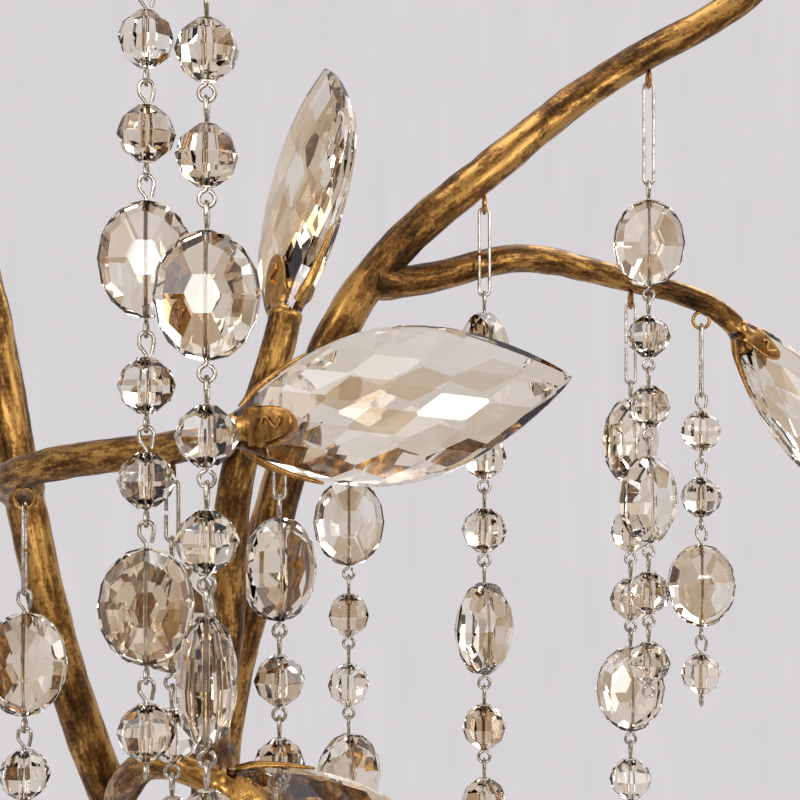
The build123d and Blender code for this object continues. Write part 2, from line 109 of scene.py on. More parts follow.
def maths(tree, operation, *values):
    return add_node(tree, "ShaderNodeMath", dict(enumerate(values)), operation=operation)


def noise(tree, scale, **inputs):
    """The grey value of a noise pattern."""
    return add_node(tree, "ShaderNodeTexNoise", {"Scale": scale, **inputs}).outputs["Fac"]


def colour_ramp(tree, value, stops):
    """A colour that follows a value through (place, colour) stops."""
    node = add_node(tree, "ShaderNodeValToRGB", {0: value})
    elements = node.color_ramp.elements
    while len(elements) > 1:
        elements.remove(elements[-1])
    elements[0].position = stops[0][0]
    elements[0].color = (*stops[0][1], 1)
    for place, colour in stops[1:]:
        elements.new(place).color = (*colour, 1)
    return node


camera = placed("camera", bpy.data.cameras.new("camera"))
camera.location = CAMERA_PLACE
camera.rotation_euler = (math.radians(90), 0, 0)
camera.data.sensor_width = 36
camera.data.lens = CAMERA_LENS
camera.data.clip_start = 0.01
bpy.context.scene.camera = camera
bpy.context.scene.view_settings.view_transform = "Standard"

floor_disk = bmesh.new()
bmesh.ops.create_circle(floor_disk, cap_ends=True, segments=96, radius=FLOOR_RADIUS)
bmesh.ops.translate(floor_disk, verts=floor_disk.verts, vec=(0, -0.1, -FLOOR_DROP))
pale_floor, _, floor_shader = blank_material("pale_floor")
set_inputs(floor_shader, {"Base Color": (0.66, 0.64, 0.65, 1), "Roughness": 0.8})
floor = placed("floor", finished_mesh(floor_disk))
floor.data.materials.append(pale_floor)

# Metal and glass see the pale wall behind the light, and a dim room with bright windows before it.
room = bpy.data.worlds.new("room")
room.use_nodes = True
bpy.context.scene.world = room
air = room.node_tree
air.nodes.clear()


def mixed_colour(share, first, second):
    inputs = {"Factor": share, 6: first, 7: second}
    return add_node(air, "ShaderNodeMix", inputs, data_type="RGBA").outputs[2]


ray = add_node(air, "ShaderNodeLightPath").outputs
toward = add_node(air, "ShaderNodeTexCoord").outputs["Generated"]
depth_way = add_node(air, "ShaderNodeSeparateXYZ", {0: toward}).outputs["Y"]
behind = add_node(
    air, "ShaderNodeMapRange", {0: depth_way, 1: -0.25, 2: 0.12}, interpolation_type="SMOOTHSTEP"
)
windows = noise(air, 2.3, Vector=toward, Detail=1.0, Distortion=0.3)
seen_room = mixed_colour(behind, colour_ramp(air, windows, ROOM_TONES), (*WALL_PALE, 1))
sees = maths(air, "MAXIMUM", ray["Is Glossy Ray"], ray["Is Transmission Ray"])
lit = mixed_colour(sees, FILL_LIGHT, seen_room)
brushed = add_node(air, "ShaderNodeMapping", {"Vector": toward, "Scale": (70.0, 70.0, 3.0)})
plaster = noise(air, 1.0, Vector=brushed.outputs[0], Detail=4.0)
darkest, lightest = ([share * c for c in WALL_PALE] + [1] for share in PLASTER_SHARES)
shown = mixed_colour(ray["Is Camera Ray"], lit, mixed_colour(plaster, darkest, lightest))
glow = add_node(air, "ShaderNodeBackground", {"Color": shown, "Strength": 1.0})
add_node(air, "ShaderNodeOutputWorld", {"Surface": glow})

# Each lamp: its name, its place, how wide it is and its watts.
for lamp_name, spot, width, watts in [
    ("window", (-0.9, -1.3, 1.1), 0.9, 7.5),
    ("bright_pane", (-0.16, -1.5, 0.42), 0.34, 4.2),
    ("small_pane", (0.42, -1.45, 0.08), 0.2, 1.8),
    ("second_window", (1.3, -0.8, 0.5), 0.6, 4.0),
    ("wall_bounce", (0.7, 0.7, 0.9), 0.7, 4.0),
    ("ceiling", (0.0, -0.2, 1.5), 0.8, 5.0),
]:
    panel = placed(lamp_name, bpy.data.lights.new(lamp_name, "AREA"))
    panel.data.size = width
    panel.data.energy = watts
    panel.location = spot
    panel.rotation_euler = (Vector(LAMPS_AIM) - Vector(spot)).to_track_quat("-Z", "Y").to_euler()

# ---------------------------------------------------------------- branches
# Two main branches, their twigs and the spurs are forged steel bars, drawn down to a taper and
# bent by eye, welded one on the other, then gilt and toned with dark brown that was rubbed back.

MM = 0.001
# Each bar: the bar that it is welded to, its bends from the weld on, its way at either end, and its
# diameters there. A leaf's name as the last bend stands for the foot of that leaf's claw.
BARS = {
    "main_branch_right": (
        None,
        [(0, -26, 0), (-5, -56, 5), (-14, -86, 32), (-16, -98, 80), (-9, -100, 128), (4.8, -103, 178),
         (19.5, -103, 221), (40, -97, 251), (66, -89, 274), (90, -76, 295), (125, -63, 319),
         (151, -61, 335), (166, -62, 355), (170, -62, 378)],
        (0, -1, 0), (0, 0, 1), 15.0, 9.0),
    "main_branch_left": (
        "main_branch_right",
        [(-13, -82, 27), (-38, -86, 62), (-60, -96, 125), (-76, -100, 205), (-90, -96, 262),
         (-114, -84, 302), (-142, -72, 330), (-160, -66, 352), (-166, -64, 378)],
        (-0.8, -0.2, 0.6), (0, 0, 1), 13.0, 9.0),
    "side_twig_right": (
        "main_branch_right",
        [(32, -100, 241), (74, -76, 249), (101, -58, 247), (124, -44, 243), "right"],
        (0.9, 0.4, -0.2), None, 9.6, 7.0),
    "side_twig_left": (
        "main_branch_left", [(-102, -90, 286), (-114, -106, 270), (-136, -104, 260), "left"],
        (-0.9, -0.3, 0.1), None, 9.6, 7.0),
    "crown_branch": (
        "main_branch_left",
        [(-86, -98, 252), (-90, -124, 286), (-76, -144, 336), (-50, -152, 366), (-31, -171, 373),
         (-13, -202, 371), (-1, -225, 362), "crown"],
        (-0.3, -0.7, 0.6), None, 9.6, 7.4),
    "front_spur": (
        "main_branch_right", [(-2, -103, 156), (8, -124, 198), (7.5, -148, 205)],
        (0, -1, 0.3), (0, -1, 0), 6.0, 6.0),
    "rear_spur": (
        "main_branch_right", [(8, -103, 190), (21.5, -82, 212), (23.5, -56, 207)],
        (0.1, 1, -0.3), (0, 1, 0), 6.0, 6.0),
    "leaf_twig_upright": (
        "main_branch_right", [(-14, -99, 100), (-11, -129, 120), (-5, -151, 148), (-1, -164, 186), "upright"],
        (0, -1, 0.5), None, 10.0, 8.0),
    "leaf_twig_side": (
        "main_branch_left",
        [(-68, -98, 180), (-70, -124, 182), (-56, -144, 187), (-32, -159, 191), (-13, -171, 194), "side"],
        (0, -1, 0), None, 10.0, 8.0),
    "leaf_twig_low": (
        "main_branch_left", [(-43, -87, 73), (-41, -110, 86), (-34, -134, 101), (-22, -150, 110), "low"],
        (0, -1, 0.2), None, 10.0, 8.0),
}
# Each leaf crystal: the middle of its base, the way it points and the way its face looks.
LEAF_PLACES = {
    "side": ((6, -181, 198.5), (0.975, -0.16, 0.156), (-0.12, -1, 0.12)),
    "upright": ((12, -166, 231), (0.11, 0.5, 0.86), (-0.8, -0.6, 0.2)),
    "low": ((-2, -156, 103), (0.86, -0.05, -0.5), (0.05, -1, 0.25)),
    "right": ((158, -37, 224), (0.62, -0.1, -0.78), (0.5, -0.8, 0.3)),
    "left": ((-160, -98, 236), (-0.6, 0.2, -0.78), (-0.4, -0.9, 0.2)),
    "crown": ((22, -250, 378), (0.72, -0.15, 0.68), (-0.1, -0.9, -0.1)),
}
CLAW_NECK = 7.0  # from a twig's end to its crystal's base
BAR_STEP = 1.6  # between two rings of a bar's skin
BEND_STEPS = 60  # from one bend to the next, before the line is divided evenly
BAR_SIDES = 20
HAMMER_DEPTH = 1.1
HAMMER_SCALE = 95.0
SKIN_RADIUS = 0.006  # metres; wraps the gilding's pattern round a bar
WELD_SWELL = 0.32  # how much thicker a bar is at its weld
WELD_REACH = 2.5  # how far the weld comes out of the parent bar
GILT_TONES = [  # dark patina, brown, worn gold and bright gold
    (0.70, (0.028, 0.016, 0.009)),
    (0.83, (0.085, 0.042, 0.016)),
    (0.95, (0.24, 0.115, 0.032)),
    (1.12, (0.48, 0.265, 0.078)),
]


def unit(way):
    return np.array(way, float) / np.linalg.norm(way)


def bent_line(points, start_way, end_way):
    """A smooth curve through a bar's bends, as points BAR_STEP apart, and the run to each of them."""
    p = np.array(points, float)
    gaps = np.linalg.norm(np.diff(p, axis=0), axis=1)
    n = len(p)
    system = np.zeros((n, n))
    wanted = np.zeros((n, 3))
    system[0, 0] = system[-1, -1] = 1
    wanted[0], wanted[-1] = unit(start_way), unit(end_way)
    for i in range(1, n - 1):
        before, after = gaps[i - 1], gaps[i]
        system[i, i - 1 : i + 2] = after, 2 * (before + after), before
        wanted[i] = 3 * (after * (p[i] - p[i - 1]) / before + before * (p[i + 1] - p[i]) / after)
    slopes = np.linalg.solve(system, wanted)
    fine = []
    for i, gap in enumerate(gaps):
        for t in np.linspace(0, 1, BEND_STEPS, endpoint=False):
            fine.append(
                (1 + 2 * t) * (1 - t) ** 2 * p[i] + t * (1 - t) ** 2 * gap * slopes[i]
                + t * t * (3 - 2 * t) * p[i + 1] + t * t * (t - 1) * gap * slopes[i + 1]
            )
    fine = np.array(fine + [p[-1]])
    run = np.concatenate([[0], np.cumsum(np.linalg.norm(np.diff(fine, axis=0), axis=1))])
    even = np.linspace(0, run[-1], max(8, int(run[-1] / BAR_STEP)))
    return np.stack([np.interp(even, run, fine[:, k]) for k in range(3)], axis=1), even


def geometry_tree(name, sockets):
    """A Geometry Nodes tree with a geometry input, named inputs and a geometry output."""
    tree = bpy.data.node_groups.new(name, "GeometryNodeTree")
    tree.interface.new_socket("Geometry", in_out="INPUT", socket_type="NodeSocketGeometry")
    for label, kind in sockets:
        tree.interface.new_socket(label, in_out="INPUT", socket_type="NodeSocket" + kind)
    tree.interface.new_socket("Geometry", in_out="OUTPUT", socket_type="NodeSocketGeometry")
    return tree, tree.nodes.new("NodeGroupInput").outputs


def read_number(tree, name):
    return add_node(tree, "GeometryNodeInputNamedAttribute", {"Name": name}, data_type="FLOAT")


def stored(tree, geometry, name, value, data_type="FLOAT", domain="POINT"):
    """Geometry that keeps a value under a name."""
    inputs = {"Geometry": geometry, "Name": name, "Value": value}
    return add_node(tree, "GeometryNodeStoreNamedAttribute", inputs, data_type=data_type, domain=domain)


def circle_curve(tree, sides, radius):
    return add_node(tree, "GeometryNodeCurvePrimitiveCircle", {"Resolution": sides, "Radius": radius})


def swept(tree, curve, section, caps=True, **inputs):
    """The skin of a section that is drawn along a curve."""
    inputs = {"Curve": curve, "Profile Curve": section, "Fill Caps": caps, **inputs}
    return add_node(tree, "GeometryNodeCurveToMesh", inputs)


def finish_tree(tree, geometry, material, smooth=True):
    """The last nodes of each tree: smooth skin, real meshes, their material, and the output."""
    if smooth:
        geometry = add_node(tree, "GeometryNodeSetShadeSmooth", {"Geometry": geometry})
    real = add_node(tree, "GeometryNodeRealizeInstances", {"Geometry": geometry})
    coloured = add_node(tree, "GeometryNodeSetMaterial", {"Geometry": real, "Material": material})
    add_node(tree, "NodeGroupOutput", {"Geometry": coloured})


def grown(name, start_mesh, tree, values):
    """Runs a tree on a mesh and keeps the plain mesh that comes out as a new piece."""
    source = placed(name + "_start", start_mesh)
    modifier = source.modifiers.new("grow", "NODES")
    modifier.node_group = tree
    for item in tree.interface.items_tree:
        if item.item_type == "SOCKET" and item.in_out == "INPUT" and item.name in values:
            modifier[item.identifier] = values[item.name]
    ready = bpy.context.evaluated_depsgraph_get()
    mesh = bpy.data.meshes.new_from_object(
        source.evaluated_get(ready), preserve_all_data_layers=True, depsgraph=ready
    )
    bpy.data.objects.remove(source)
    return placed(name, mesh)


def lines_mesh(chains, **attributes):
    """Loose chains of points in millimetres, with a value of each attribute for each point."""
    spots, edges = [], []
    for chain in chains:
        edges += [(len(spots) + i, len(spots) + i + 1) for i in range(len(chain) - 1)]
        spots += [tuple(float(x) * MM for x in spot) for spot in chain]
    mesh = bpy.data.meshes.new("lines")
    mesh.from_pydata(spots, edges, [])
    for label, values in attributes.items():
        layer = mesh.attributes.new(label, "FLOAT", "POINT")
        layer.data.foreach_set("value", [float(value) for value in values])
    return mesh


def object_place(tree):
    return add_node(tree, "ShaderNodeTexCoord").outputs["Object"]


def mapped(tree, value, low, high, at_low, at_high):
    """A value between low and high, turned to one between at_low and at_high."""
    return add_node(tree, "ShaderNodeMapRange", {0: value, 1: low, 2: high, 3: at_low, 4: at_high})


def bump(tree, height, strength, distance, **inputs):
    inputs = {"Height": height, "Strength": strength, "Distance": distance, **inputs}
    return add_node(tree, "ShaderNodeBump", inputs)


def gilt_finish(name, dark, coordinates=None, gloss=0.0):
    """Gilding toned with brown: dark mottled patches, rubbed gold on top, and a hammered skin."""
    material, tree, shader = blank_material(name)
    if coordinates:
        where = add_node(tree, "ShaderNodeAttribute", attribute_name=coordinates).outputs["Vector"]
    else:
        where = object_place(tree)
    stretched = add_node(tree, "ShaderNodeMapping", {"Vector": where, "Scale": (1.0, 1.0, 0.22)})
    drawn_out = add_node(tree, "ShaderNodeMapping", {"Vector": where, "Scale": (1.0, 1.0, 0.5)})
    patches = noise(tree, 78.0, Vector=drawn_out, Detail=7.0, Roughness=0.6, Distortion=0.5)
    streaks = noise(tree, 520.0, Vector=stretched, Detail=4.0, Roughness=0.6)
    specks = noise(tree, 900.0, Vector=where, Detail=3.0)
    blend = maths(tree, "MULTIPLY_ADD", streaks, 0.55, patches)
    toned = maths(tree, "MULTIPLY_ADD", specks, 0.3, blend)
    dents = bump(tree, blend, 0.55, 0.0006)
    set_inputs(shader, {
        "Base Color": colour_ramp(tree, toned, [(place + dark, tone) for place, tone in GILT_TONES]),
        "Metallic": 1.0,
        "Roughness": mapped(tree, toned, 0.75, 1.1, 0.5 - gloss, 0.3 - gloss / 2),
        "Normal": bump(tree, specks, 0.25, 0.0002, Normal=dents),
    })
    return material


# A bar's skin follows its line at its own half thickness, and stands in and out where it was
# hammered. It keeps a flat place for each point, so that the gilding runs along the bar.
forged_bar, given = geometry_tree("forged_bar", [
    ("Sides", "Int"), ("Hammer Depth", "Float"), ("Hammer Scale", "Float"), ("Gilding", "Material")])
centre_line = add_node(forged_bar, "GeometryNodeMeshToCurve", {"Mesh": given["Geometry"]})
along_bar = add_node(forged_bar, "GeometryNodeSplineParameter").outputs["Length"]
section = circle_curve(forged_bar, given["Sides"], 1.0)
around_bar = add_node(forged_bar, "GeometryNodeSplineParameter").outputs["Factor"]
turn = maths(forged_bar, "MULTIPLY", around_bar, 2 * math.pi)
with_run = stored(forged_bar, centre_line, "run", along_bar)
with_turn = stored(forged_bar, section, "turn", turn)
drawn = swept(forged_bar, with_run, with_turn, Scale=read_number(forged_bar, "half"))
hammering = noise(forged_bar, given["Hammer Scale"], Detail=1.5)
lift = maths(forged_bar, "SUBTRACT", hammering, 0.5)
depth = maths(forged_bar, "MULTIPLY", lift, given["Hammer Depth"])
outward = add_node(forged_bar, "GeometryNodeInputNormal")
push = add_node(forged_bar, "ShaderNodeVectorMath", {0: outward, "Scale": depth}, operation="SCALE")
hammered = add_node(forged_bar, "GeometryNodeSetPosition", {"Geometry": drawn, "Offset": push})
kept_turn = read_number(forged_bar, "turn")
skin_place = add_node(forged_bar, "ShaderNodeCombineXYZ", {
    0: maths(forged_bar, "MULTIPLY", maths(forged_bar, "COSINE", kept_turn), SKIN_RADIUS),
    1: maths(forged_bar, "MULTIPLY", maths(forged_bar, "SINE", kept_turn), SKIN_RADIUS),
    2: read_number(forged_bar, "run"),
})
with_skin = stored(forged_bar, hammered, "skin", skin_place, "FLOAT_VECTOR")
finish_tree(forged_bar, with_skin, given["Gilding"])

antique_gilt = gilt_finish("antique_gilt", -0.01, "skin")
bar_lines = {}
for bar_name, (parent, bends, start_way, end_way, root_dia, tip_dia) in BARS.items():
    bends = list(bends)
    if parent:
        parent_line, parent_halves = bar_lines[parent]
        nearest = np.linalg.norm(parent_line - np.array(bends[0], float), axis=1).argmin()
        bends[0] = parent_line[nearest]
    if isinstance(bends[-1], str):
        base, way, _ = LEAF_PLACES[bends[-1]]
        end_way = unit(way)
        bends[-1] = np.array(base, float) - end_way * CLAW_NECK
    line, run = bent_line(bends, start_way, end_way)
    halves = (root_dia + (tip_dia - root_dia) * run / run[-1]) / 2
    bar_lines[bar_name] = line, halves
    shown_halves = halves.copy()
    if parent:  # the weld's fillet
        fillet = run / (parent_halves[nearest] + WELD_REACH)
        shown_halves *= 1 + WELD_SWELL * np.exp(-(fillet**2) * 1.2)
    bar = grown(bar_name + "_bar", lines_mesh([line], half=shown_halves * MM), forged_bar, {
        "Sides": BAR_SIDES, "Hammer Depth": HAMMER_DEPTH * MM, "Hammer Scale": HAMMER_SCALE,
        "Gilding": antique_gilt})
    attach(bar, "frame")
    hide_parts(bar_name)

# ---------------------------------------------------------------- leaf crystals
# Six leaf-shaped stones of champagne-tinted lead crystal, ground on both faces to a slanting
# checkerboard of flats, with a narrow polished edge all round.

LEAF_LENGTH = 76.0
LEAF_WIDTH = 38.0
LEAF_THICK = 13.0
LEAF_GIRDLE = 1.6  # thickness at the rim
LEAF_BLUNT = 0.12  # how blunt the base is
CROWN_MIDDLE = 33.0  # from the base
CROWN_HALF_LENGTH = 45.0
CROWN_HALF_WIDTH = 19.8
LONG_LINES = math.radians(-19.5)  # the two ways that the checkerboard's lines run
CROSS_LINES = math.radians(35.0)
FLAT_LONG = 11.2
FLAT_CROSS = 7.7
LONG_SHIFT = 0.25  # of a flat, by which the checkerboard is off the middle, and the other way behind
CROSS_SHIFT = 0.3
FLATS_EACH_WAY = range(-7, 8)
EDGE_FLATS = 22
EDGE_SLOPE = 1.6
LEAF_ARRIS = 0.14
LEAF_SEED = 31


def leaf_half_width(share):
    """Half a leaf's width at a share of its length."""
    return LEAF_WIDTH / 2 * math.sin(math.pi * (LEAF_BLUNT + (1 - LEAF_BLUNT) * share)) ** 0.85


def crown_height(x, y):
    """How far a leaf's face stands above its middle plane."""
    fall = ((x - CROWN_MIDDLE) / CROWN_HALF_LENGTH) ** 2 + (y / CROWN_HALF_WIDTH) ** 2
    return LEAF_GIRDLE / 2 + (LEAF_THICK - LEAF_GIRDLE) / 2 * (1 - fall)


def ground_stone(middle, size, planes, seed, arris=0.0, depth=1.0):
    """Grinds a block flat by flat to (point, outward way) planes, and eases its edges by an arris."""
    stone = bmesh.new()
    block = Matrix.Translation(middle) @ Matrix.Diagonal((*size, 1))
    bmesh.ops.create_cube(stone, size=1, matrix=block)
    for spot, way in planes:
        everything = stone.verts[:] + stone.edges[:] + stone.faces[:]
        bmesh.ops.bisect_plane(
            stone, geom=everything, dist=1e-4, plane_co=spot, plane_no=way, clear_outer=True
        )
        rim = [edge for edge in stone.edges if edge.is_boundary]
        if rim:
            bmesh.ops.holes_fill(stone, edges=rim, sides=0)
    bmesh.ops.remove_doubles(stone, verts=stone.verts, dist=0.02)
    bmesh.ops.dissolve_degenerate(stone, edges=stone.edges, dist=0.02)
    bmesh.ops.recalc_face_normals(stone, faces=stone.faces)
    if arris:
        bmesh.ops.bevel(
            stone, geom=stone.edges[:], offset=arris, segments=1, affect="EDGES", clamp_overlap=True
        )
    # Each flat gets a random tone raised to the last argument's power. The crystal finish paints low tones as
    # brown reflections, so a higher power paints more of them.
    tone = stone.faces.layers.float.new("facet_tone")
    chance = random.Random(seed)
    for face in stone.faces:
        face[tone] = chance.random() ** depth
    return stone


def leaf_planes():
    """The flats of both faces, then those of the edge and the bevel on each side of it."""
    planes = []
    rise = LEAF_THICK - LEAF_GIRDLE
    for side in (1, -1):
        long_way = Vector((math.cos(LONG_LINES), side * math.sin(LONG_LINES), 0))
        cross_way = Vector((math.cos(CROSS_LINES), side * math.sin(CROSS_LINES), 0))
        for i in FLATS_EACH_WAY:
            for j in FLATS_EACH_WAY:
                spot = long_way * FLAT_LONG * (i + LONG_SHIFT * side)
                spot += cross_way * FLAT_CROSS * (j + CROSS_SHIFT * side)
                x, y = spot.x + CROWN_MIDDLE, spot.y
                if -9 < x < LEAF_LENGTH + 8 and abs(y) < LEAF_WIDTH / 2 + 5:
                    slope = rise * spot.x / CROWN_HALF_LENGTH**2, rise * y / CROWN_HALF_WIDTH**2
                    way = Vector((*slope, side)).normalized()
                    planes.append((Vector((x, y, side * crown_height(x, y))), way))
    shares = [0.5 - 0.5 * math.cos(math.pi * i / EDGE_FLATS) for i in range(EDGE_FLATS + 1)]
    for hand in (1, -1):
        for a, b in zip(shares, shares[1:]):
            start = Vector((LEAF_LENGTH * a, hand * leaf_half_width(a), 0))
            run = Vector((LEAF_LENGTH * b, hand * leaf_half_width(b), 0)) - start
            out = Vector((-run.y, run.x, 0)).normalized() * hand
            planes.append((start, out))
            for side in (1, -1):
                bevel = (out * EDGE_SLOPE + Vector((0, 0, side))).normalized()
                planes.append((start + Vector((0, 0, side * LEAF_GIRDLE * 0.5)), bevel))
    return planes


def crystal_finish(name, tint, deep):
    """Champagne lead crystal whose flats differ a little. The champagne tint is the crystal's own colour; the
    brown flats are painted reflections of the dark room and the gilt metal, and the nearly clear flats are
    painted bright reflections.
    """
    material, tree, shader = blank_material(name)
    flat = add_node(tree, "ShaderNodeAttribute", attribute_name="facet_tone").outputs["Fac"]
    bead = add_node(tree, "ShaderNodeAttribute", attribute_name="bead_tone").outputs["Fac"]
    tone = maths(tree, "WRAP", maths(tree, "ADD", flat, bead), 1.0, 0.0)
    where = object_place(tree)
    cloud = noise(tree, 160.0, Vector=where, Detail=2.0)
    wave = noise(tree, 55.0, Vector=where, Detail=1.0)
    between = [0.5 * (a + b) for a, b in zip(deep, tint)]
    clear = (0.99, 0.985, 0.97)
    # Brown and half brown flats are painted reflections of the dark room and the gilt, the champagne tint is
    # the crystal's own, and the nearly clear band is painted bright reflections.
    tints_and_reflections = [(0.18, deep), (0.28, between), (0.38, tint), (0.74, tint), (0.86, clear), (1.0, tint)]
    set_inputs(shader, {
        "Base Color": colour_ramp(tree, maths(tree, "MULTIPLY_ADD", cloud, 0.22, tone), tints_and_reflections),
        "Transmission Weight": 1.0,
        "IOR": 1.58,
        "Roughness": mapped(tree, wave, 0.3, 0.7, 0.0, 0.035),
        "Normal": bump(tree, wave, 0.12, 0.0004),
    })
    return material


def leaf_matrix(leaf_name):
    """Leaf coordinates to the shared frame: x along the leaf, z out of its face."""
    base, way, look = LEAF_PLACES[leaf_name]
    x = Vector(unit(way))
    z = Vector(look)
    z = (z - x * z.dot(x)).normalized()
    turned = Matrix((x, z.cross(x), z)).transposed().to_4x4()
    return Matrix.Translation(Vector(base) * MM) @ turned @ Matrix.Diagonal((MM, MM, MM, 1))


# The leaf crystal's champagne tint, then the brown of its painted reflections.
leaf_crystal = crystal_finish("leaf_crystal", (0.925, 0.85, 0.735), (0.62, 0.43, 0.23))
leaf_middle = Vector((LEAF_LENGTH / 2, 0, 0))
leaf_block = (LEAF_LENGTH + 20, LEAF_WIDTH + 10, LEAF_THICK + 4)
for leaf_index, leaf_name in enumerate(LEAF_PLACES):
    # The upright leaf gets more of the brown flats: painted reflections, and a painted deeper colour for the
    # crystal seen through on edge.
    reflection_brown_bias = 3.0 if leaf_name == "upright" else 1.1
    stone = ground_stone(
        leaf_middle, leaf_block, leaf_planes(), LEAF_SEED + leaf_index, LEAF_ARRIS, reflection_brown_bias
    )
    stone.transform(leaf_matrix(leaf_name))
    bmesh.ops.recalc_face_normals(stone, faces=stone.faces)
    leaf = placed(leaf_name + "_leaf", finished_mesh(stone))
    leaf.data.materials.append(leaf_crystal)
    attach(leaf, "frame")
    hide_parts("leaf_crystal_" + leaf_name)

# ---------------------------------------------------------------- leaf claws
# A claw brazed on each leaf twig: a flared neck, a gilt tongue bent down on each face of the
# crystal, a twist of wire on the front one, and a prong along each edge.

THIN_TWIG_LEAVES = ("right", "left", "crown")
TONGUE_START = -2.4  # inside the neck
TONGUE_REACH = 10.0
TONGUE_HALF_WIDTH = 4.9
TONGUE_THICK = 1.0
TONGUE_LIFT = 0.25  # above the crystal
TONGUE_STEPS = 8
TWIST_STEPS = 16
PRONG_STEPS = 12
PRONG_START = -3.5
PRONG_LENGTH = 17.5


def skinned(shape, loops):
    """Faces from each loop of corners to the next one. A loop may be a single corner."""
    for a, b in zip(loops, loops[1:]):
        sides = max(len(a), len(b))
        for k in range(sides):
            after = (k + 1) % sides
            corners = [a[k % len(a)], a[after % len(a)], b[after % len(b)], b[k % len(b)]]
            corners = [corner for i, corner in enumerate(corners) if corner not in corners[:i]]
            if len(corners) > 2:
                shape.faces.new(corners)


def circle(sides):
    """The cosine and sine of each corner's angle round a circle."""
    angles = [2 * math.pi * k / sides for k in range(sides)]
    return [(math.cos(angle), math.sin(angle)) for angle in angles]


def applied(mesh, modifiers):
    """Finishes a mesh with modifiers and keeps the plain result."""
    source = placed("unfinished", mesh)
    for kind, settings in modifiers:
        modifier = source.modifiers.new(kind, kind)
        for key, value in settings.items():
            setattr(modifier, key, value)
    ready = bpy.context.evaluated_depsgraph_get()
    result = bpy.data.meshes.new_from_object(source.evaluated_get(ready))
    bpy.data.objects.remove(source)
    return result


def joined(name, meshes, material, smooth=True):
    """One piece of several plain meshes."""
    whole = bmesh.new()
    for mesh in meshes:
        whole.from_mesh(mesh)
    for face in whole.faces:
        face.smooth = smooth
        face.material_index = 0
    piece = placed(name, finished_mesh(whole))
    piece.data.materials.append(material)
    return piece


def claw_neck(place, half):
    """The neck: a collar on the twig, then a flare whose lip is rolled in round the crystal."""
    rings = [  # each (along, half width, half depth)
        (-CLAW_NECK - 1.5, half - 0.2, half - 0.2), (-CLAW_NECK, half + 0.5, half + 0.4),
        (-CLAW_NECK + 1.6, half + 0.5, half + 0.4), (-CLAW_NECK + 2.4, half - 0.3, half - 0.3),
        (-3, half + 0.4, half), (-1, 6.6, 4.4), (1.2, 8.0, 4.9), (2.2, 7.4, 4.2), (1.6, 5.6, 2.6),
    ]
    shell = bmesh.new()
    loops = [[shell.verts.new((x, wide * c, deep * s)) for c, s in circle(24)] for x, wide, deep in rings]
    skinned(shell, loops)
    for end in (loops[0], loops[-1]):
        shell.faces.new(end)
    bmesh.ops.recalc_face_normals(shell, faces=shell.faces)
    shell.transform(place)
    return applied(finished_mesh(shell), [("SUBSURF", {"levels": 1, "render_levels": 1})])


def claw_tongue(place, side):
    """A leaf-shaped tongue of sheet that lies on one face of the crystal."""
    sheet = bmesh.new()
    rows = []
    for i in range(TONGUE_STEPS + 1):
        share = i / TONGUE_STEPS
        x = TONGUE_START + (TONGUE_REACH - TONGUE_START) * i / TONGUE_STEPS
        wide = TONGUE_HALF_WIDTH * (1 - 0.25 * share) * math.sqrt(max(0.02, 1 - share**5))
        row = []
        for k in range(9):
            y = wide * (k / 4 - 1)
            height = crown_height(max(x, 0.0), y) + TONGUE_LIFT - 0.25 * min(x, 0) ** 2
            row.append(sheet.verts.new((x, y, side * max(height, 1.6))))
        rows.append(row)
    for upper, lower in zip(rows, rows[1:]):
        for k in range(len(upper) - 1):
            sheet.faces.new((upper[k], upper[k + 1], lower[k + 1], lower[k]))
    bmesh.ops.recalc_face_normals(sheet, faces=sheet.faces)
    if (sum(face.normal.z for face in sheet.faces) > 0) != (side > 0):
        bmesh.ops.reverse_faces(sheet, faces=sheet.faces)
    sheet.transform(place)
    return applied(finished_mesh(sheet), [
        ("SOLIDIFY", {"thickness": TONGUE_THICK * MM, "offset": 1.0}),
        ("SUBSURF", {"levels": 2, "render_levels": 2}),
    ])


def gilt_rod(line, halves, hammer_depth, hammer_scale):
    """A thin rod through points in millimetres, as a plain mesh."""
    rod = grown("rod", lines_mesh([line], half=[half * MM for half in halves]), forged_bar, {
        "Sides": 10, "Hammer Depth": hammer_depth * MM, "Hammer Scale": hammer_scale,
        "Gilding": bright_gilt})
    mesh = rod.data
    bpy.data.objects.remove(rod)
    return mesh


def twist_line(place):
    """The small twist on the front tongue."""
    line = []
    for i in range(TWIST_STEPS + 1):
        x = 1.8 + 5.4 * i / TWIST_STEPS
        y = 1.5 * math.sin(2.2 * math.pi * i / TWIST_STEPS)
        height = crown_height(x, y) + TONGUE_LIFT + TONGUE_THICK + 0.25
        line.append(place @ Vector((x, y, height)) / MM)
    return line


def prong_line(place, hand):
    """A prong that leaves the neck and follows the crystal's edge."""
    line = []
    for i in range(PRONG_STEPS + 1):
        x = PRONG_START + PRONG_LENGTH * i / PRONG_STEPS
        off = leaf_half_width(x / LEAF_LENGTH) + 0.55 if x > 0 else 5.0 + 1.05 * (x - PRONG_START)
        line.append(place @ Vector((x, hand * off, 0)) / MM)
    return line


